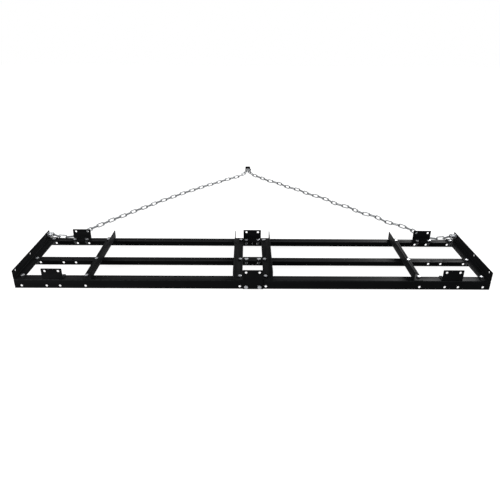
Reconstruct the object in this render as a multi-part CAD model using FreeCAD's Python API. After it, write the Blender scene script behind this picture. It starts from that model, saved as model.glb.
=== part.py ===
import FreeCAD, Part
import math
import os

# Drag harrow: a bolted frame of steel angle with a chain bridle.
# Millimetres, +Z up, ground at Z = 0. +Y points to the towing vehicle, +X to the right
# as seen from behind the harrow. The origin is the bottom centre of the whole outline.

# Frame
frame_width = 2134.0
frame_depth = 457.0
middle_rail_share = 0.5077
butt_gap = 1.0
angle_leg = 43.0
angle_wall = 3.0
bend_radius = 4.0
hole_gauge = 31.0
hole_radius = 5.5

# Cross angles and brackets: the outer ones from the rail's end, the centre one from its plate
bracket_inset = 173.0
inner_cross_inset = 317.0
centre_cross_clearance = 0.5

# Bracket plates
plate_width = 92.0
plate_wall = 3.0
plate_pitch = 60.0
front_plate_rise = 52.5
rear_plate_rise = 49.0
plate_top_edge = 12.0
plate_corner_radius = 3.0
front_bracket_setback = 4.0

# M10 frame bolts and nuts
bolt_radius = 5.0
bolt_length = 25.0
bolt_flats = 16.0
bolt_head = 6.4
nut_height = 8.4
thread_chamfer = 1.0
nut_clearance = 0.05
hex_crown_share = 0.96

# Degrees that the hexagons are turned by, as left by the wrench
bolt_turn_angle = 23.0
nut_turn_angle = 17.0
eye_bolt_turn_angle = 12.0
eye_nut_turn_angle = 41.0
hitch_bolt_turn_angle = 10.0

# Eye bolts that hold the chain at the end cross angles
eye_bolt_length = 30.0
eye_link_room = 13.0
washer_radius = 10.0
washer_wall = 2.0
washer_clearance = 0.2

# Long-link chain
wire_radius = 3.0
link_inner_length = 44.0
link_inner_width = 12.0
link_gap = 0.7
least_link_gap = 0.5
knee_gap = 0.94
eye_seat_gap = 0.85
hitch_seat_gap = 0.6

# Lie of the chain: angles in degrees, the rest as shares of the lengths that they follow
first_link_heading = 20.0
first_link_droop = 22.0
lead_headings = (27.0, 38.0, 49.0, 42.0, 28.0, 20.0, 33.0)
lead_droops = (36.0, 23.0, 10.0)
lead_twist_links = 4
ground_roll = 45.0
upright_roll = 90.0
mid_knee_share = 0.5075
mid_knee_bulge_shares = {"left": 0.062, "right": 0.023}
inner_bow_shares = {"left": 0.006, "right": 0.0}
outer_bow_shares = {"left": 0.014, "right": 0.004}
run_wave_count = 3
most_sway_angle = 30.0
sway_trial_count = 40
tail_headings = {"left": (7.0, 15.0, 28.0), "right": (6.0, 14.0, 28.0)}
tail_reach_share = 0.904
tail_fall_shares = (0.0, 0.125, 0.35, 0.65, 1.0)

# Hitch clevis and its bolt
bridle_reach = 1393.0
hitch_offset = -25.0
clevis_height = 30.0
clevis_wall = 6.0
clevis_inner_width = 26.0
clevis_throat = 36.0
clevis_bend_radius = 10.0
hitch_bolt_radius = 5.0
hitch_bolt_flats = 16.0
hitch_bolt_head = 6.4
hitch_bolt_clearance = 0.3
link_spread = 12.0

# Running past a face when cutting
overrun = 1.0

V = FreeCAD.Vector
SIDES = {"left": -1, "right": 1}

# Places worked out from the sizes above
half_width = frame_width / 2
end_cross_place = half_width - hole_gauge
bracket_place = half_width - bracket_inset
inner_cross_place = half_width - inner_cross_inset
centre_cross_place = plate_width / 2 + centre_cross_clearance + angle_leg - hole_gauge
splice_place = plate_pitch / 2
plate_tops = {"front": angle_leg + front_plate_rise, "rear": angle_leg + rear_plate_rise}

front_reach = plate_wall + bolt_head
clevis_end = clevis_height / 2
clevis_reach = clevis_throat + clevis_wall
overall_depth = front_reach + frame_depth - hole_gauge + bridle_reach + clevis_reach
front_y = front_reach - overall_depth / 2
middle_y = front_y + frame_depth * middle_rail_share
rear_y = front_y + frame_depth

# Each rail: the Y of its heel, and which way its flange points from there
RAILS = {"front": (front_y, 1), "middle": (middle_y, -1), "rear": (rear_y, -1)}
bolt_line = {name: heel + toward * hole_gauge for name, (heel, toward) in RAILS.items()}

eye_y = bolt_line["rear"]
eye_z = angle_leg + hole_gauge
eye_link_x = half_width - angle_wall - eye_link_room / 2
hitch_bolt_y = eye_y + bridle_reach
hitch_bolt_z = clevis_height / 2

link_arc_radius = link_inner_width / 2 + wire_radius
link_straight = link_inner_length - link_inner_width
link_half_length = link_inner_length / 2 + wire_radius
joint_reach = wire_radius + link_gap / 2
knee_reach = wire_radius + knee_gap / 2
link_spacing = 2 * (link_half_length - joint_reach)
chain_z = link_arc_radius * math.sin(math.radians(ground_roll)) + wire_radius


def block(x_span, y_span, z_span):
    """A box between two places on each axis."""
    size = [max(span) - min(span) for span in (x_span, y_span, z_span)]
    return Part.makeBox(*size, V(min(x_span), min(y_span), min(z_span)))


def drill(shape, points, along, radius, depth):
    """Cuts a round hole of a given depth at each point, running past both faces."""
    cutters = []
    for point in points:
        start = point - along * overrun
        cutters.append(Part.makeCylinder(radius, depth + 2 * overrun, start, along))
    return shape.cut(cutters)


def bent_angle(heel, along, length, first_way, first_leg, second_way, second_leg, wall):
    """A bar of folded angle: heel is its outer corner, the legs run from there."""
    inner_radius = bend_radius - wall
    on_diagonal = math.sqrt(0.5)

    def at(u, v):
        return heel + first_way * u + second_way * v

    outer_mid = bend_radius * (1 - on_diagonal)
    inner_mid = bend_radius - inner_radius * on_diagonal
    toe_1, bend_1 = at(first_leg, 0), at(bend_radius, 0)
    bend_2, toe_2 = at(0, bend_radius), at(0, second_leg)
    toe_3, bend_3 = at(wall, second_leg), at(wall, bend_radius)
    bend_4, toe_4 = at(bend_radius, wall), at(first_leg, wall)
    edges = [
        Part.LineSegment(toe_1, bend_1).toShape(),
        Part.Arc(bend_1, at(outer_mid, outer_mid), bend_2).toShape(),
        Part.LineSegment(bend_2, toe_2).toShape(),
        Part.LineSegment(toe_2, toe_3).toShape(),
        Part.LineSegment(toe_3, bend_3).toShape(),
        Part.Arc(bend_3, at(inner_mid, inner_mid), bend_4).toShape(),
        Part.LineSegment(bend_4, toe_4).toShape(),
        Part.LineSegment(toe_4, toe_1).toShape(),
    ]
    return Part.Face(Part.Wire(edges)).extrude(along * length)


def rail_half(side, rail):
    """One half of a rail, punched with the same row of holes in both flanges."""
    heel_y, toward = RAILS[rail]
    heel = V(side * butt_gap / 2, heel_y, angle_leg)
    length = half_width - butt_gap / 2
    bar = bent_angle(
        heel, V(side, 0, 0), length,
        V(0, toward, 0), angle_leg, V(0, 0, -1), angle_leg, angle_wall,
    )
    places = [
        splice_place,
        centre_cross_place,
        inner_cross_place,
        bracket_place - splice_place,
        bracket_place + splice_place,
        end_cross_place,
    ]
    flange = [V(side * x, heel_y + toward * hole_gauge, angle_leg) for x in places]
    web = [V(side * x, heel_y, angle_leg - hole_gauge) for x in places]
    bar = drill(bar, flange, V(0, 0, -1), hole_radius, angle_wall)
    return drill(bar, web, V(0, toward, 0), hole_radius, angle_wall)


def cross_angle(side, bolt_place, fin_way, fin_holes):
    """An angle laid across the three rails, its fin standing up on the fin_way side."""
    out = V(side * fin_way, 0, 0)
    heel = V(side * bolt_place, front_y, angle_leg) + out * hole_gauge
    bar = bent_angle(
        heel, V(0, 1, 0), frame_depth,
        out * -1, angle_leg, V(0, 0, 1), angle_leg, angle_wall,
    )
    flange = [V(side * bolt_place, y, angle_leg) for y in bolt_line.values()]
    bar = drill(bar, flange, V(0, 0, 1), hole_radius, angle_wall)
    if fin_holes:
        fin = [V(heel.x, y, eye_z) for y in bolt_line.values()]
        bar = drill(bar, fin, out * -1, hole_radius, angle_wall)
    return bar


def round_top_corners(plate, top):
    """Rounds the two upper corners of a standing plate."""
    corners = []
    for edge in plate.Edges:
        level = all(abs(vertex.Point.z - top) < least_link_gap for vertex in edge.Vertexes)
        if level and abs(edge.Length - plate_wall) < least_link_gap:
            corners.append(edge)
    return plate.makeFillet(plate_corner_radius, corners)


def upper_holes(plate, centre_x, face_y, into, top):
    """The two free holes near the top of a standing plate."""
    height = top - plate_top_edge
    points = [V(centre_x + way * splice_place, face_y, height) for way in (-1, 1)]
    return drill(plate, points, V(0, into, 0), hole_radius, plate_wall)


def standing_bracket(centre_x, heel_y, toward, rail):
    """An L bracket on a rail's flange: one leg bolted down, the other standing."""
    top = plate_tops[rail]
    heel = V(centre_x - plate_width / 2, heel_y, angle_leg)
    bracket = bent_angle(
        heel, V(1, 0, 0), plate_width,
        V(0, toward, 0), angle_leg, V(0, 0, 1), top - angle_leg, plate_wall,
    )
    bracket = round_top_corners(bracket, top)
    bolt_y = bolt_line[rail]
    foot = [V(centre_x + way * splice_place, bolt_y, angle_leg) for way in (-1, 1)]
    bracket = drill(bracket, foot, V(0, 0, 1), hole_radius, plate_wall)
    return upper_holes(bracket, centre_x, heel_y, toward, top)


def front_splice_plate():
    """The flat plate that joins the front rail's halves and stands above them."""
    reach = plate_width / 2
    top = plate_tops["front"]
    plate = block((-reach, reach), (front_y - plate_wall, front_y), (0, top))
    plate = round_top_corners(plate, top)
    foot_z = angle_leg - hole_gauge
    foot = [V(way * splice_place, front_y - plate_wall, foot_z) for way in (-1, 1)]
    plate = drill(plate, foot, V(0, 1, 0), hole_radius, plate_wall)
    return upper_holes(plate, 0, front_y - plate_wall, 1, top)


def middle_splice_plate():
    """The flat strap that joins the middle rail's halves on top of the flange."""
    reach = plate_width / 2
    strap = block(
        (-reach, reach), (middle_y - angle_leg, middle_y), (angle_leg, angle_leg + plate_wall)
    )
    holes = [V(way * splice_place, bolt_line["middle"], angle_leg) for way in (-1, 1)]
    return drill(strap, holes, V(0, 0, 1), hole_radius, plate_wall)


def hexagon(flats, height, turn):
    """A six-sided bar end with its outer face crowned, standing on Z = 0."""
    corner = flats / math.sqrt(3)
    crown = flats / 2 * hex_crown_share
    crown_height = (corner - crown) * math.tan(math.radians(30))
    points = []
    for step in range(7):
        angle = math.radians(turn + 60 * step)
        points.append(V(corner * math.cos(angle), corner * math.sin(angle), 0))
    prism = Part.Face(Part.makePolygon(points)).extrude(V(0, 0, height))
    crowned = Part.makeCylinder(corner, height - crown_height)
    top = Part.makeCone(corner, crown, crown_height, V(0, 0, height - crown_height))
    return prism.common(crowned.fuse(top))


def stand(shape, foot, up):
    """Moves a shape that stands on Z = 0 to a foot, with its Z along up."""
    shape.Placement = FreeCAD.Placement(foot, FreeCAD.Rotation(V(0, 0, 1), up))
    return shape


def hex_bolt(seat, into, radius, length, flats, head, turn):
    """A hex bolt: seat is under its head, the shank runs along into."""
    bolt = stand(hexagon(flats, head, turn), seat, into * -1)
    plain = length - thread_chamfer
    shank = Part.makeCylinder(radius, plain, seat, into)
    tip = Part.makeCone(
        radius, radius - thread_chamfer, thread_chamfer, seat + into * plain, into
    )
    return bolt.fuse([shank, tip]).removeSplitter()


def hex_nut(seat, away, turn):
    """A nut whose flat face lies on seat."""
    nut = hexagon(bolt_flats, nut_height, turn)
    nut = drill(nut, [V(0, 0, 0)], V(0, 0, 1), bolt_radius + nut_clearance, nut_height)
    return stand(nut, seat, away)


def fastener_row(seats, into, stack):
    """Bolts at the seats, and nuts on the far side of a stack of plates."""
    bolts = []
    nuts = []
    for index, seat in enumerate(seats):
        turn = bolt_turn_angle * index
        bolts.append(
            hex_bolt(seat, into, bolt_radius, bolt_length, bolt_flats, bolt_head, turn)
        )
        nuts.append(hex_nut(seat + into * stack, into, turn + nut_turn_angle))
    return bolts, nuts


def chain_link():
    """One welded link lying along X, flat in the XY plane, centred on the origin."""
    parts = []
    for end in (-1, 1):
        bend = V(end * link_straight / 2, 0, 0)
        ring = Part.makeTorus(link_arc_radius, wire_radius, bend)
        reach = link_arc_radius + wire_radius + overrun
        half = block(
            (bend.x, bend.x + end * reach), (-reach, reach), (-reach, reach)
        )
        parts.append(ring.common(half))
        foot = V(-link_straight / 2, end * link_arc_radius, 0)
        parts.append(Part.makeCylinder(wire_radius, link_straight, foot, V(1, 0, 0)))
    return parts[0].fuse(parts[1:])


LINK = chain_link()


def heading(side, turn, droop=0.0):
    """The way a link points: turn degrees in from +Y, droop degrees down."""
    flat = math.cos(math.radians(droop))
    return V(
        -side * flat * math.sin(math.radians(turn)),
        flat * math.cos(math.radians(turn)),
        -math.sin(math.radians(droop)),
    )


def lay_link(start, end, roll):
    """A link between two joints of the chain, rolled about its own length."""
    way = (end - start).normalize()
    level = way.cross(V(0, 0, 1)).normalize()
    above = level.cross(way)
    tilt = math.radians(roll)
    width = level * math.cos(tilt) + above * math.sin(tilt)
    link = LINK.copy()
    turn = FreeCAD.Rotation(way, width, way.cross(width), "XYZ")
    link.Placement = FreeCAD.Placement((start + end) * 0.5, turn)
    return link


def snaking_run(start, end, side, bow_share):
    """Joints a link apart, level and bowed outwards, with the slack in small waves."""
    chord = end - start
    bow = 2 * math.atan(2 * bow_share)
    straight = link_spacing * (math.sin(bow) / bow if bow else 1.0)
    count = math.ceil(chord.Length / straight)
    least, most = 0.0, math.radians(most_sway_angle)
    for _ in range(sway_trial_count):
        sway = (least + most) / 2
        joints = [V()]
        for step in range(count):
            share = step / (count - 1)
            turn = sway * math.sin(2 * math.pi * run_wave_count * share)
            turn -= side * bow * (1 - 2 * share)
            joints.append(joints[-1] + V(math.cos(turn), math.sin(turn), 0) * link_spacing)
        if joints[-1].Length > chord.Length:
            least = sway
        else:
            most = sway
    lie = FreeCAD.Placement(start, FreeCAD.Rotation(joints[-1], chord))
    return [lie.multVec(joint) for joint in joints[1:]]


def chain_route(name):
    """The joints of one half of the bridle, by section, with the last at the hitch bolt."""
    side = SIDES[name]
    eye = V(side * eye_link_x, eye_y, eye_z)
    eye_seat = bolt_radius + eye_seat_gap + wire_radius
    first_reach = 2 * link_half_length - eye_seat - joint_reach
    lead = [eye, eye + heading(side, first_link_heading, first_link_droop) * first_reach]
    for index, turn in enumerate(lead_headings):
        if index < len(lead_droops):
            droop = lead_droops[index]
        else:
            fall = min(link_spacing, lead[-1].z - chain_z)
            droop = math.degrees(math.asin(fall / link_spacing))
        lead.append(lead[-1] + heading(side, turn, droop) * link_spacing)

    hitch = V(hitch_offset + side * link_spread / 2, hitch_bolt_y, hitch_bolt_z)
    hitch_seat = hitch_bolt_radius + hitch_seat_gap + wire_radius
    last_reach = 2 * link_half_length - hitch_seat - joint_reach
    reaches = [last_reach] + [link_spacing] * len(tail_headings[name])
    knee_y = hitch_bolt_y - sum(reaches) * tail_reach_share
    tail = [hitch]
    for turn, reach in zip(tail_headings[name], reaches):
        tail.append(tail[-1] - heading(side, turn) * reach)
    rest = min(1.0, (tail[-1].y - knee_y) / link_spacing)
    tail.append(tail[-1] - heading(side, math.degrees(math.acos(rest))) * link_spacing)
    for joint, fall_share in zip(tail, tail_fall_shares):
        joint.z = hitch_bolt_z + (chain_z - hitch_bolt_z) * fall_share
    tail.reverse()

    span = tail[0] - lead[-1]
    mid_knee = lead[-1] + span * mid_knee_share
    mid_knee += V(side * abs(span.x) * mid_knee_bulge_shares[name], 0, 0)
    inner = snaking_run(lead[-1], mid_knee, side, inner_bow_shares[name])
    outer = snaking_run(mid_knee, tail[0], side, outer_bow_shares[name])
    return lead + inner, [mid_knee] + outer, tail


def chain_half(name):
    """The links of one half of the bridle: inner, outer and tail sections."""
    inner, outer, tail = chain_route(name)
    total = len(inner) + len(outer) + len(tail) - 3
    last_roll = upright_roll if total % 2 else 0.0
    sections = []
    number = 0
    for joints in (inner, outer, tail):
        links = []
        for index in range(len(joints) - 1):
            start, end = joints[index], joints[index + 1]
            way = (end - start).normalize()
            lead_left = max(0, lead_twist_links - number) / lead_twist_links
            tail_done = max(0, number - total + len(tail)) / (len(tail) - 1)
            roll = ground_roll
            roll += (upright_roll - ground_roll) * lead_left
            roll += (last_roll - ground_roll) * tail_done
            roll += 90 * (number % 2)
            if number == 0:
                start = end - way * link_spacing
            elif joints is not inner and index == 0:
                start = start + way * (joint_reach - knee_reach)
                end = start + way * link_spacing
            if number == total - 1:
                end = start + way * link_spacing
            elif joints is not tail and index == len(joints) - 2:
                end = end - way * (joint_reach - knee_reach)
                start = end - way * link_spacing
            links.append(lay_link(start, end, SIDES[name] * roll))
            number += 1
        sections.append(links)
    return sections


def hitch_clevis():
    """Flat bar bent to a U on its edge, open towards the harrow, drilled for a bolt."""
    outer = clevis_inner_width / 2 + clevis_wall
    far = hitch_bolt_y + clevis_reach
    left, right = hitch_offset - outer, hitch_offset + outer
    body = block((left, right), (hitch_bolt_y, far), (0, clevis_height))
    corners = []
    for edge in body.Edges:
        upright = abs(edge.Length - clevis_height) < least_link_gap
        if upright and all(vertex.Point.y > hitch_bolt_y for vertex in edge.Vertexes):
            if edge.Vertexes[0].Point.z != edge.Vertexes[1].Point.z:
                corners.append(edge)
    body = body.makeFillet(clevis_bend_radius, corners)
    nose = Part.makeCylinder(
        clevis_end, 2 * outer, V(left, hitch_bolt_y, hitch_bolt_z), V(1, 0, 0)
    )
    body = body.fuse(nose).removeSplitter()
    inner = clevis_inner_width / 2
    room = block(
        (hitch_offset - inner, hitch_offset + inner),
        (hitch_bolt_y - clevis_end - overrun, far - clevis_wall),
        (-overrun, clevis_height + overrun),
    )
    corners = []
    for edge in room.Edges:
        ends = [vertex.Point for vertex in edge.Vertexes]
        if all(end.y > hitch_bolt_y for end in ends) and ends[0].z != ends[1].z:
            corners.append(edge)
    room = room.makeFillet(clevis_bend_radius - clevis_wall, corners)
    body = body.cut(room)
    body = drill(
        body, [V(hitch_offset, hitch_bolt_y, hitch_bolt_z)], V(1, 0, 0),
        hitch_bolt_radius + hitch_bolt_clearance, outer,
    )
    return drill(
        body, [V(left, hitch_bolt_y, hitch_bolt_z)], V(1, 0, 0),
        hitch_bolt_radius + nut_clearance, clevis_wall,
    )


def hitch_bolt():
    """The bolt across the clevis, screwed into its left leg, head on the right."""
    outer = clevis_inner_width / 2 + clevis_wall
    seat = V(hitch_offset + outer, hitch_bolt_y, hitch_bolt_z)
    return hex_bolt(
        seat, V(-1, 0, 0), hitch_bolt_radius, 2 * outer, hitch_bolt_flats,
        hitch_bolt_head, hitch_bolt_turn_angle,
    )


def eye_fasteners(side):
    """The bolt, washer and nut that carry the chain on an end cross angle's fin."""
    inward = V(-side, 0, 0)
    seat = V(side * half_width, eye_y, eye_z)
    bolt = hex_bolt(
        seat, inward, bolt_radius, eye_bolt_length, bolt_flats, bolt_head,
        eye_bolt_turn_angle,
    )
    washer_seat = seat + inward * (angle_wall + eye_link_room)
    washer = Part.makeCylinder(washer_radius, washer_wall, washer_seat, inward)
    washer = drill(
        washer, [washer_seat], inward, bolt_radius + washer_clearance, washer_wall
    )
    nut = hex_nut(washer_seat + inward * washer_wall, inward, eye_nut_turn_angle)
    return bolt, washer, nut


def frame_nodes():
    """Rails, cross angles, brackets and their fasteners."""
    nodes = {}
    for name, side in SIDES.items():
        for rail in RAILS:
            nodes[f"{rail}_rail_{name}"] = [rail_half(side, rail)]
        nodes[f"end_cross_angle_{name}"] = [cross_angle(side, end_cross_place, 1, True)]
        nodes[f"inner_cross_angle_{name}"] = [cross_angle(side, inner_cross_place, -1, False)]
        nodes[f"centre_cross_angle_{name}"] = [cross_angle(side, centre_cross_place, 1, False)]
        nodes[f"front_bracket_{name}"] = [
            standing_bracket(
                side * bracket_place, front_y + front_bracket_setback, 1, "front"
            )
        ]
        nodes[f"rear_bracket_{name}"] = [
            standing_bracket(side * bracket_place, rear_y, -1, "rear")
        ]
    nodes["front_splice_plate"] = [front_splice_plate()]
    nodes["middle_splice_plate"] = [middle_splice_plate()]
    nodes["rear_splice_bracket"] = [standing_bracket(0, rear_y, -1, "rear")]

    down = V(0, 0, -1)
    seat_z = angle_leg + angle_wall
    plate_seat_z = angle_leg + plate_wall
    cross_places = [end_cross_place, inner_cross_place, centre_cross_place]
    for rail, y in bolt_line.items():
        seats = [V(side * x, y, seat_z) for side in SIDES.values() for x in cross_places]
        bolts, nuts = fastener_row(seats, down, 2 * angle_wall)
        nodes[f"{rail}_cross_bolts"] = bolts
        nodes[f"{rail}_cross_nuts"] = nuts
    pair = (-splice_place, splice_place)
    for rail in ("middle", "rear"):
        seats = [V(x, bolt_line[rail], plate_seat_z) for x in pair]
        bolts, nuts = fastener_row(seats, down, plate_wall + angle_wall)
        nodes[f"{rail}_splice_bolts"] = bolts
        nodes[f"{rail}_splice_nuts"] = nuts
    seats = [V(x, front_y - plate_wall, angle_leg - hole_gauge) for x in pair]
    bolts, nuts = fastener_row(seats, V(0, 1, 0), plate_wall + angle_wall)
    nodes["front_splice_bolts"] = bolts
    nodes["front_splice_nuts"] = nuts
    for rail in ("front", "rear"):
        for name, side in SIDES.items():
            seats = [V(side * bracket_place + x, bolt_line[rail], plate_seat_z) for x in pair]
            bolts, nuts = fastener_row(seats, down, plate_wall + angle_wall)
            nodes[f"{rail}_bracket_{name}_bolts"] = bolts
            nodes[f"{rail}_bracket_{name}_nuts"] = nuts
    return nodes


def bridle_nodes():
    """Chain sections, the eye bolts that hold them and the clevis at their apex."""
    nodes = {}
    for name, side in SIDES.items():
        inner, outer, tail = chain_half(name)
        nodes[f"chain_inner_{name}"] = inner
        nodes[f"chain_outer_{name}"] = outer
        nodes[f"chain_tail_{name}"] = tail
        bolt, washer, nut = eye_fasteners(side)
        nodes[f"chain_eye_bolt_{name}"] = [bolt]
        nodes[f"chain_eye_washer_{name}"] = [washer]
        nodes[f"chain_eye_nut_{name}"] = [nut]
    nodes["hitch_clevis"] = [hitch_clevis()]
    nodes["hitch_bolt"] = [hitch_bolt()]
    return nodes


def main():
    """Builds every node and writes one STEP file for each."""
    os.makedirs("parts", exist_ok=True)
    nodes = {**frame_nodes(), **bridle_nodes()}
    for name, solids in nodes.items():
        shape = solids[0] if len(solids) == 1 else Part.makeCompound(solids)
        shape.exportStep(f"parts/{name}.step")
    print(len(nodes), "nodes", sum(len(solids) for solids in nodes.values()), "solids")
    return nodes


NODES = main()
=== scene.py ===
import math

import bmesh
import bpy
import numpy as np
from mathutils import Matrix, Vector


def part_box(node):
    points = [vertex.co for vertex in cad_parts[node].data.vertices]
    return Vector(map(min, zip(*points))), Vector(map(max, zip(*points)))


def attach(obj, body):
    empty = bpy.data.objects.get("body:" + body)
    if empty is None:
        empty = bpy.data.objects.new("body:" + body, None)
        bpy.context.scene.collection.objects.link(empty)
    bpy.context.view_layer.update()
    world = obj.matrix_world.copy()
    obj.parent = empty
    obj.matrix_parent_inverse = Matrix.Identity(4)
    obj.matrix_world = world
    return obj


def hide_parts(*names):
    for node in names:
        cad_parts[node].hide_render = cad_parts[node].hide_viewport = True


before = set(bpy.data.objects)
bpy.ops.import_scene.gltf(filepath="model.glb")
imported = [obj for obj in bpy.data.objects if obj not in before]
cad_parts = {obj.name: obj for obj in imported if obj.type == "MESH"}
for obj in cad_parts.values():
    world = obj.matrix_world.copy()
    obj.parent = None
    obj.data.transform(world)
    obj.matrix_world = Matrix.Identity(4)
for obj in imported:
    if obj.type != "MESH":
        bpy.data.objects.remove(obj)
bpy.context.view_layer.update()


# The three rails
# Each rail is two halves of folded 43 mm steel angle that butt at the middle, with the
# same row of holes punched in both flanges. They are powder coated satin black, which
# rounds every cut edge a little and lies thinner there.

mm = 0.001
rails = [
    f"{rail}_rail_{side}" for rail in ("front", "middle", "rear") for side in ("left", "right")
]
coat_edge_radius = 0.45 * mm
edge_segments = 2
cut_edge_angle = math.radians(50)
flat_angle = math.radians(0.5)
smooth_angle = math.radians(35)
same_point = 0.001 * mm

# The cut ends of two halves are drawn together to a tenth of their gap, because the coat
# bridges the joint. The angle's long rounded fold is painted lighter as a highlight, less than its
# cut edges.
butt_reach = 0.6 * mm
butt_gap_share = 0.1
square_share = 0.99
fold_length = 15 * mm
fold_painted_highlight = 0.7


def linear(hex_colour):
    """A written sRGB colour as the linear values that a shader takes."""
    values = [int(hex_colour[i:i + 2], 16) / 255 for i in (1, 3, 5)]
    return [v / 12.92 if v <= 0.04045 else ((v + 0.055) / 1.055) ** 2.4 for v in values] + [1.0]


def add_node(tree, kind, inputs=None, **settings):
    """Adds a node, sets its properties, and gives each input a value or a link."""
    added = tree.nodes.new(kind)
    for name, value in settings.items():
        setattr(added, name, value)
    for name, value in (inputs or {}).items():
        if isinstance(value, bpy.types.NodeSocket):
            tree.links.new(value, added.inputs[name])
        else:
            added.inputs[name].default_value = value
    return added


def new_material(name):
    """A new material and its node tree, emptied for the nodes of its finish."""
    material = bpy.data.materials.new(name)
    material.use_nodes = True
    material.node_tree.nodes.clear()
    return material, material.node_tree


def eased_copy(node_name, radius, butt_at=None):
    """A merged copy of a CAD node with its cut edges rounded, and the faces marked for edge wear
    and painted highlight.
    """
    bm = bmesh.new()
    bm.from_mesh(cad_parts[node_name].data)
    bmesh.ops.remove_doubles(bm, verts=bm.verts, dist=same_point)
    if butt_at is not None:
        butt = [v for v in bm.verts if abs(v.co.x) < butt_at]
        bmesh.ops.scale(bm, vec=(butt_gap_share, 1, 1), verts=butt)
    bmesh.ops.dissolve_limit(
        bm, angle_limit=flat_angle, verts=bm.verts, edges=bm.edges,
        use_dissolve_boundaries=False,
    )
    eased = bm.faces.layers.float.new("eased_edge")
    for face in bm.faces:
        slanted = max(abs(share) for share in face.normal) < square_share
        # Long slanted faces of the fold are marked for a painted highlight.
        if slanted and max(e.calc_length() for e in face.edges) > fold_length:
            face[eased] = fold_painted_highlight
    sharp = [e for e in bm.edges if e.is_manifold and e.calc_face_angle() > cut_edge_angle]
    made = bmesh.ops.bevel(
        bm, geom=sharp, offset=radius, offset_type="OFFSET", segments=edge_segments,
        profile=0.5, affect="EDGES", material=-1, clamp_overlap=True,
    )
    for face in made["faces"]:
        face[eased] = 1.0
    return bm


def finish_piece(bm, name, material, body):
    """Turns a bmesh into a piece of the scene that rides on its body."""
    mesh = bpy.data.meshes.new(name)
    bm.to_mesh(mesh)
    bm.free()
    for face in mesh.polygons:
        face.use_smooth = True
    mesh.set_sharp_from_angle(angle=smooth_angle)
    mesh.materials.append(material)
    piece = bpy.data.objects.new(name, mesh)
    bpy.context.scene.collection.objects.link(piece)
    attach(piece, body)
    return piece


# Satin black polyester powder coat on steel. The cured powder keeps a fine orange peel,
# about 1.5 mm from crest to crest, and a slow change of gloss over a hand's width. The rounded
# cut edges are painted lighter and glossier, partly as wear of the thin coat and partly as a
# painted highlight. The folds get the lighter colour only as a painted highlight.
powder_coat, tree = new_material("satin_black_powder_coat")
# The third grey is the lighter edge colour: wear and painted highlight on cut edges, painted
# highlight on folds.
coat_dark, coat_pale, coat_wear_and_highlight = "#0c0c0d", "#151617", "#282a2b"
coat_rough_low, coat_rough_high, worn_roughness = 0.46, 0.56, 0.38
coat_reflection = 0.014
peel_size = 1.5 * mm
ripple_size = 7 * mm
ripple_share = 0.6
peel_depth = 0.03 * mm
shade_size = 90 * mm
scuff_size = 14 * mm
scuff_low, scuff_high, least_wear = 0.42, 0.62, 0.15

# A noise texture seldom leaves this band, so a full change of gloss runs across it.
noise_low, noise_high = 0.3, 0.7

coords = add_node(tree, "ShaderNodeTexCoord").outputs["Object"]
peel = add_node(tree, "ShaderNodeTexNoise", {
    "Vector": coords, "Scale": 1 / peel_size, "Detail": 2.0,
})
ripple = add_node(tree, "ShaderNodeTexNoise", {
    "Vector": coords, "Scale": 1 / ripple_size, "Detail": 1.0,
})
shade = add_node(tree, "ShaderNodeTexNoise", {
    "Vector": coords, "Scale": 1 / shade_size, "Detail": 4.0,
})
scuff = add_node(tree, "ShaderNodeTexNoise", {
    "Vector": coords, "Scale": 1 / scuff_size, "Detail": 6.0, "Roughness": 0.7,
})
body_colour = add_node(tree, "ShaderNodeMix", {
    "Factor": shade.outputs["Fac"], "A": linear(coat_dark), "B": linear(coat_pale),
}, data_type="RGBA")
# Marked edges and folds mix toward the lighter grey: wear and painted highlight on cut edges,
# painted highlight alone on folds.
edge_wear_and_highlight = add_node(
    tree, "ShaderNodeAttribute", attribute_name="eased_edge", attribute_type="GEOMETRY",
)
patchy = add_node(tree, "ShaderNodeMapRange", {
    "Value": scuff.outputs["Fac"], "From Min": scuff_low, "From Max": scuff_high,
    "To Min": least_wear, "To Max": 1.0,
})
wear_and_highlight = add_node(tree, "ShaderNodeMath", {
    0: edge_wear_and_highlight.outputs["Fac"], 1: patchy.outputs["Result"],
}, operation="MULTIPLY")
coat_colour = add_node(tree, "ShaderNodeMix", {
    "Factor": wear_and_highlight.outputs["Value"], "A": body_colour.outputs["Result"], "B": linear(coat_wear_and_highlight),
}, data_type="RGBA")
gloss = add_node(tree, "ShaderNodeMapRange", {
    "Value": shade.outputs["Fac"], "From Min": noise_low, "From Max": noise_high,
    "To Min": coat_rough_low, "To Max": coat_rough_high,
})
edge_gloss = add_node(tree, "ShaderNodeMix", {
    "Factor": wear_and_highlight.outputs["Value"], "A": gloss.outputs["Result"], "B": worn_roughness,
}, data_type="FLOAT")
relief = add_node(tree, "ShaderNodeMath", {
    0: ripple.outputs["Fac"], 1: ripple_share, 2: peel.outputs["Fac"],
}, operation="MULTIPLY_ADD")
bump = add_node(tree, "ShaderNodeBump", {
    "Height": relief.outputs["Value"], "Strength": 0.5, "Distance": peel_depth,
})
coat_shader = add_node(tree, "ShaderNodeBsdfPrincipled", {
    "Base Color": coat_colour.outputs["Result"], "Roughness": edge_gloss.outputs["Result"],
    "Normal": bump.outputs["Normal"], "Specular IOR Level": coat_reflection, "IOR": 1.5,
})
add_node(tree, "ShaderNodeOutputMaterial", {"Surface": coat_shader.outputs["BSDF"]})

for name in rails:
    rail = eased_copy(name, coat_edge_radius, butt_at=butt_reach)
    rail = finish_piece(rail, f"coated_{name}", powder_coat, "frame")
    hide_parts(name)


# The cross angles
# Six lengths of the same angle lie across the rails, one flange bolted down and the
# other standing up as a fin. They come from the same coating line as the rails.

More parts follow.
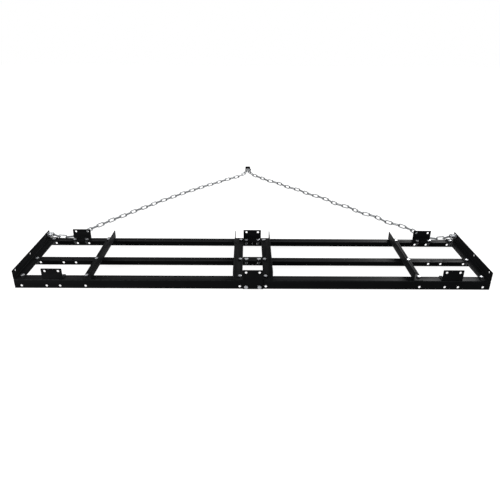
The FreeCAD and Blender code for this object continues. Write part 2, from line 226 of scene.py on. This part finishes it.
cross_angles = [
    f"{row}_cross_angle_{side}" for row in ("end", "inner", "centre") for side in ("left", "right")
]
for name in cross_angles:
    angle = eased_copy(name, coat_edge_radius)
    angle = finish_piece(angle, f"coated_{name}", powder_coat, "frame")
    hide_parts(name)


# Brackets and splice plates
# Folded L brackets of 3 mm plate stand on the front and rear rails, and flat or folded
# plates join the rail halves at the middle. Laser cut, folded, and coated as the rails.

plates = [
    "front_bracket_left", "front_bracket_right", "rear_bracket_left", "rear_bracket_right",
    "front_splice_plate", "middle_splice_plate", "rear_splice_bracket",
]
plate_edge_radius = 0.4 * mm
for name in plates:
    plate = eased_copy(name, plate_edge_radius)
    plate = finish_piece(plate, f"coated_{name}", powder_coat, "frame")
    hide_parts(name)


# Frame bolts and nuts
# M10 hex bolts and nuts, cold formed and bright zinc plated, with soft cloudy patches
# where they lay against each other in the barrel. The nuts and the bolts' free threads,
# under the flanges, get a much darker zinc as painted shade.

cloud_size = 6 * mm
tumble_size = 0.8 * mm
tumble_depth = 0.02 * mm


def zinc_plate(name, dark, light, dull, smooth):
    """Plated steel that clouds between two greys and two degrees of gloss."""
    material, tree = new_material(name)
    coords = add_node(tree, "ShaderNodeTexCoord").outputs["Object"]
    cloud = add_node(tree, "ShaderNodeTexNoise", {
        "Vector": coords, "Scale": 1 / cloud_size, "Detail": 3.0,
    })
    tumble = add_node(tree, "ShaderNodeTexNoise", {
        "Vector": coords, "Scale": 1 / tumble_size, "Detail": 2.0,
    })
    colour = add_node(tree, "ShaderNodeMix", {
        "Factor": cloud.outputs["Fac"], "A": linear(dark), "B": linear(light),
    }, data_type="RGBA")
    gloss = add_node(tree, "ShaderNodeMapRange", {
        "Value": cloud.outputs["Fac"], "From Min": noise_low, "From Max": noise_high,
        "To Min": dull, "To Max": smooth,
    })
    bump = add_node(tree, "ShaderNodeBump", {
        "Height": tumble.outputs["Fac"], "Strength": 0.4, "Distance": tumble_depth,
    })
    shader = add_node(tree, "ShaderNodeBsdfPrincipled", {
        "Base Color": colour.outputs["Result"], "Roughness": gloss.outputs["Result"],
        "Normal": bump.outputs["Normal"], "Metallic": 1.0,
    })
    add_node(tree, "ShaderNodeOutputMaterial", {"Surface": shader.outputs["BSDF"]})
    return material


bright_zinc = zinc_plate("bright_zinc_plate", "#85878a", "#adafb2", dull=0.42, smooth=0.3)
# A much darker zinc, painted shade for the nuts and free threads under the flanges.
painted_shade_zinc = zinc_plate("painted_shade_zinc_plate", "#303133", "#454749", dull=0.55, smooth=0.42)

bolt_edge_radius = 0.25 * mm
shank_radius = 5.0 * mm
tip_chamfer = 1.0 * mm
thread_pitch = 1.5 * mm
thread_root_share = 0.85
free_thread = 9.4 * mm

# No two points of one shank lie further apart than this, and no two shanks this near.
one_shank = 2.2 * shank_radius


def depths(face, plane, back):
    """How far each corner of a face lies behind a plane."""
    return [(v.co - plane).dot(back) for v in face.verts]


def by_shank(verts):
    """Groups the vertices of a cut by the shank that they lie on."""
    groups = []
    for vert in verts:
        for group in groups:
            if (vert.co - group[0].co).length < one_shank:
                group.append(vert)
                break
        else:
            groups.append([vert])
    return groups


def cut_thread(bm, tip, back, length):
    """Cuts ridges into every shank of a row, from its tip plane back along its length.

    All the planes are cut first. Then every second ring is drawn in to the thread's root.
    """
    roots = []
    for step in range(2 * int(length / thread_pitch) + 1):
        plane = tip + back * (tip_chamfer + step * thread_pitch / 2)
        crossed = [
            f for f in bm.faces if min(depths(f, plane, back)) < 0 < max(depths(f, plane, back))
        ]
        edges = dict.fromkeys(e for f in crossed for e in f.edges)
        verts = dict.fromkeys(v for f in crossed for v in f.verts)
        cut = bmesh.ops.bisect_plane(
            bm, geom=[*verts, *edges, *crossed], dist=same_point, plane_co=plane, plane_no=back,
        )
        if step % 2:
            ring = [v for v in cut["geom_cut"] if isinstance(v, bmesh.types.BMVert)]
            roots += by_shank(ring)
    for root in roots:
        middle = sum((v.co for v in root), Vector()) / len(root)
        bmesh.ops.scale(
            bm, vec=Vector((thread_root_share,) * 3), verts=root,
            space=Matrix.Translation(-middle),
        )


bolt_rows = [
    "front_cross", "middle_cross", "rear_cross", "front_splice", "middle_splice", "rear_splice",
]
bolt_rows += [f"{rail}_bracket_{side}" for rail in ("front", "rear") for side in ("left", "right")]
for row in bolt_rows:
    low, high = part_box(f"{row}_bolts")
    if row == "front_splice":
        tip, back = high, Vector((0, -1, 0))
    else:
        tip, back = low, Vector((0, 0, 1))
    bolts = eased_copy(f"{row}_bolts", bolt_edge_radius)
    cut_thread(bolts, tip, back, free_thread)
    # The free thread takes the darker zinc, as painted shade.
    for face in bolts.faces:
        if max(depths(face, tip, back)) < free_thread + thread_pitch:
            face.material_index = 1
    bolts = finish_piece(bolts, f"zinc_{row}_bolts", bright_zinc, "frame")
    bolts.data.materials.append(painted_shade_zinc)
    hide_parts(f"{row}_bolts")
    # The nuts take the darker zinc, as painted shade.
    nuts = eased_copy(f"{row}_nuts", bolt_edge_radius)
    nuts = finish_piece(nuts, f"zinc_{row}_nuts", painted_shade_zinc, "frame")
    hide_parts(f"{row}_nuts")


# Chain bolts
# A longer M10 bolt through each end fin holds the first link of the chain on its shank,
# between the fin and a pressed washer with its nut. Bright zinc, as the frame's bolts.

eye_thread = 3.0 * mm
for side, outward in (("left", -1), ("right", 1)):
    low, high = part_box(f"chain_eye_bolt_{side}")
    tip = low if outward > 0 else high
    bolt = eased_copy(f"chain_eye_bolt_{side}", bolt_edge_radius)
    cut_thread(bolt, tip, Vector((outward, 0, 0)), eye_thread)
    bolt = finish_piece(
        bolt, f"zinc_chain_eye_bolt_{side}", bright_zinc, "frame",
    )
    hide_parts(f"chain_eye_bolt_{side}")
    for kind in ("washer", "nut"):
        piece = eased_copy(f"chain_eye_{kind}_{side}", bolt_edge_radius)
        piece = finish_piece(
            piece, f"zinc_chain_eye_{kind}_{side}", bright_zinc, "frame",
        )
        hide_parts(f"chain_eye_{kind}_{side}")


# Chain
# Long-link chain of 6 mm wire, bent cold, butt welded in one side of each link and
# barrel zinc plated. The plating is greyer than on the bolts and dull in patches.

chain_zinc, tree = new_material("barrel_zinc_on_drawn_wire")
chain_dark, chain_pale = "#626466", "#8a8c8e"
chain_dull, chain_smooth = 0.56, 0.42
stain_size = 9 * mm
draw_size = 0.9 * mm
draw_depth = 0.03 * mm
coords = add_node(tree, "ShaderNodeTexCoord").outputs["Object"]
stain = add_node(tree, "ShaderNodeTexNoise", {
    "Vector": coords, "Scale": 1 / stain_size, "Detail": 4.0, "Roughness": 0.6,
})
draw = add_node(tree, "ShaderNodeTexNoise", {
    "Vector": coords, "Scale": 1 / draw_size, "Detail": 2.0,
})
chain_colour = add_node(tree, "ShaderNodeMix", {
    "Factor": stain.outputs["Fac"], "A": linear(chain_dark), "B": linear(chain_pale),
}, data_type="RGBA")
chain_gloss = add_node(tree, "ShaderNodeMapRange", {
    "Value": stain.outputs["Fac"], "From Min": noise_low, "From Max": noise_high,
    "To Min": chain_dull, "To Max": chain_smooth,
})
chain_bump = add_node(tree, "ShaderNodeBump", {
    "Height": draw.outputs["Fac"], "Strength": 0.5, "Distance": draw_depth,
})
chain_shader = add_node(tree, "ShaderNodeBsdfPrincipled", {
    "Base Color": chain_colour.outputs["Result"], "Roughness": chain_gloss.outputs["Result"],
    "Normal": chain_bump.outputs["Normal"], "Metallic": 1.0,
})
add_node(tree, "ShaderNodeOutputMaterial", {"Surface": chain_shader.outputs["BSDF"]})

wire_radius = 3.0 * mm
link_arc_radius = 9.0 * mm

# Half of the weld bead's outline, from its end inwards. Each point is its distance from
# the seam and its height over the wire. The ends lie just inside the wire.
bead_outline = [
    (2.6 * mm, -0.25 * mm), (1.9 * mm, 0.02 * mm), (0.9 * mm, 0.32 * mm), (0, 0.2 * mm),
]
bead_sides = 12


def weld_bead():
    """The low ring of flash that the butt weld leaves round the wire, along X."""
    bm = bmesh.new()
    line = [bm.verts.new((-reach, 0, wire_radius + rise)) for reach, rise in bead_outline]
    line += [bm.verts.new((reach, 0, wire_radius + rise)) for reach, rise in bead_outline[-2::-1]]
    edges = [bm.edges.new(pair) for pair in zip(line, line[1:])]
    bmesh.ops.spin(
        bm, geom=line + edges, axis=(1, 0, 0), cent=(0, 0, 0), angle=2 * math.pi,
        steps=bead_sides, use_merge=True, use_duplicate=False,
    )
    bmesh.ops.remove_doubles(bm, verts=bm.verts, dist=same_point)
    bmesh.ops.holes_fill(bm, edges=[e for e in bm.edges if e.is_boundary], sides=bead_sides)
    bmesh.ops.recalc_face_normals(bm, faces=bm.faces)
    return bm


def separate_links(bm):
    """The links of a merged chain section, each as a list of its vertices."""
    found, seen = [], set()
    for start in bm.verts:
        if start in seen:
            continue
        link, rim = [start], [start]
        seen.add(start)
        while rim:
            vert = rim.pop()
            for edge in vert.link_edges:
                other = edge.other_vert(vert)
                if other not in seen:
                    seen.add(other)
                    link.append(other)
                    rim.append(other)
        found.append(link)
    return found


def seam_place(link):
    """Where a link's bead goes: half way along its upper straight side, in line with it."""
    points = np.array([v.co for v in link])
    middle = Vector((points.max(0) + points.min(0)) / 2)
    axes = np.linalg.svd(points - points.mean(0), full_matrices=False)[2]
    along, across = Vector(axes[0]), Vector(axes[1])
    if across.z < 0:
        across = -across
    turn = Matrix((along, across, along.cross(across))).transposed().to_4x4()
    return Matrix.Translation(middle + across * link_arc_radius) @ turn


pattern = weld_bead()
bead = bpy.data.meshes.new("weld_bead_pattern")
pattern.to_mesh(bead)
pattern.free()
for section in ("inner", "outer", "tail"):
    for side in ("left", "right"):
        node = f"chain_{section}_{side}"
        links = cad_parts[node]
        links.data.materials.clear()
        links.data.materials.append(chain_zinc)
        merged = bmesh.new()
        merged.from_mesh(links.data)
        bmesh.ops.remove_doubles(merged, verts=merged.verts, dist=same_point)
        beads = bmesh.new()
        for link in separate_links(merged):
            placed = set(beads.verts)
            beads.from_mesh(bead)
            added = [v for v in beads.verts if v not in placed]
            bmesh.ops.transform(beads, matrix=seam_place(link), verts=added)
        merged.free()
        finish_piece(beads, f"weld_beads_{section}_{side}", chain_zinc, node)
bpy.data.meshes.remove(bead)


# Clevis and its bolt
# The hitch is a U of 30 x 6 mm flat bar, bent hot and powder coated black. A zinc M10
# bolt across its legs goes through the last link of both halves of the chain.

bar_edge_radius = 0.6 * mm
clevis = eased_copy("hitch_clevis", bar_edge_radius)
clevis = finish_piece(clevis, "coated_hitch_clevis", powder_coat, "hitch")
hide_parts("hitch_clevis")
hitch_bolt = eased_copy("hitch_bolt", bolt_edge_radius)
hitch_bolt = finish_piece(hitch_bolt, "zinc_hitch_bolt", bright_zinc, "hitch")
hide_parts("hitch_bolt")


# Floor and backdrop
# A seamless sheet of white studio paper lies under the harrow and fades into a white
# surround, so that only a soft shadow shows where the rails and the chain touch it.

paper_reach = 9.0
paper_drop = 0.4 * mm
paper_grey = "#8a8a8a"
paper_glow = 0.92
surround_light = 0.5
surround_seen = 1.0


def seen_directly(tree):
    """1 for rays from the camera, from gloss and through glass, and 0 for light."""
    ray = add_node(tree, "ShaderNodeLightPath")
    shiny = add_node(tree, "ShaderNodeMath", {
        0: ray.outputs["Is Camera Ray"], 1: ray.outputs["Is Glossy Ray"],
    }, operation="ADD")
    total = add_node(tree, "ShaderNodeMath", {
        0: shiny.outputs["Value"], 1: ray.outputs["Is Transmission Ray"],
    }, operation="ADD", use_clamp=True)
    return total.outputs["Value"]


paper, tree = new_material("white_studio_paper")
glow = add_node(tree, "ShaderNodeMath", {
    0: seen_directly(tree), 1: paper_glow,
}, operation="MULTIPLY")
paper_shader = add_node(tree, "ShaderNodeBsdfPrincipled", {
    "Base Color": linear(paper_grey), "Roughness": 1.0, "Specular IOR Level": 0.0,
    "Emission Color": linear("#ffffff"), "Emission Strength": glow.outputs["Value"],
})
add_node(tree, "ShaderNodeOutputMaterial", {"Surface": paper_shader.outputs["BSDF"]})

bm = bmesh.new()
bmesh.ops.create_grid(bm, x_segments=1, y_segments=1, size=paper_reach)
bmesh.ops.translate(bm, vec=(0, 0, -paper_drop), verts=bm.verts)
paper_mesh = bpy.data.meshes.new("studio_paper")
bm.to_mesh(paper_mesh)
bm.free()
paper_mesh.materials.append(paper)
studio_paper = bpy.data.objects.new("studio_paper", paper_mesh)
bpy.context.scene.collection.objects.link(studio_paper)

world = bpy.data.worlds.new("studio_surround")
bpy.context.scene.world = world
world.use_nodes = True
tree = world.node_tree
tree.nodes.clear()
soft_light = add_node(tree, "ShaderNodeBackground", {
    "Color": linear("#ffffff"), "Strength": surround_light,
})
white_wall = add_node(tree, "ShaderNodeBackground", {
    "Color": linear("#ffffff"), "Strength": surround_seen,
})
choice = add_node(tree, "ShaderNodeMixShader", {
    "Fac": seen_directly(tree),
    1: soft_light.outputs["Background"], 2: white_wall.outputs["Background"],
})
add_node(tree, "ShaderNodeOutputWorld", {"Surface": choice.outputs["Shader"]})


# Lights and camera
# Three soft banks light the steel: one overhead, one at the back right, and a weak one
# low at the front left. The camera stands about 1.1 m up in front of the front rail and
# looks down on the harrow.

# Each bank's name, the place where it stands and the one that it lights, in metres, its
# width in metres and its power in watts.
banks = [
    ("overhead_bank", (-1.6, -1.8, 2.9), (-0.3, -0.4, 0), 2.6, 24),
    ("back_right_bank", (3.8, 4.2, 2.9), (0.9, -0.7, 0), 2.4, 480),
    ("front_left_bank", (-2.5, -2.7, 1.1), (-0.7, -0.93, 0), 1.2, 60),
]
for name, stand, aim, width, power in banks:
    lamp = bpy.data.lights.new(name, "AREA")
    lamp.shape = "SQUARE"
    lamp.size = width
    lamp.energy = power
    light = bpy.data.objects.new(name, lamp)
    light.location = stand
    light.rotation_euler = (Vector(aim) - Vector(stand)).to_track_quat("-Z", "Y").to_euler()
    bpy.context.scene.collection.objects.link(light)

eye_place = Vector((-0.0245, -2.8814, 1.12865))
look_down = math.radians(25.55)
look_right = math.radians(0.32)
lean = math.radians(0.40)
focal_length = 36.0
picture_width = 36.0

ahead = Vector((
    math.sin(look_right) * math.cos(look_down),
    math.cos(look_right) * math.cos(look_down),
    -math.sin(look_down),
))
level_right = Vector((math.cos(look_right), -math.sin(look_right), 0))
level_up = level_right.cross(ahead)
right = level_right * math.cos(lean) + level_up * math.sin(lean)
up = level_up * math.cos(lean) - level_right * math.sin(lean)
lens = bpy.data.cameras.new("camera")
lens.lens = focal_length
lens.sensor_width = picture_width
lens.sensor_fit = "HORIZONTAL"
camera = bpy.data.objects.new("camera", lens)
camera.matrix_world = (
    Matrix.Translation(eye_place) @ Matrix((right, up, -ahead)).transposed().to_4x4()
)
bpy.context.scene.collection.objects.link(camera)
bpy.context.scene.camera = camera
bpy.context.scene.view_settings.view_transform = "Standard"
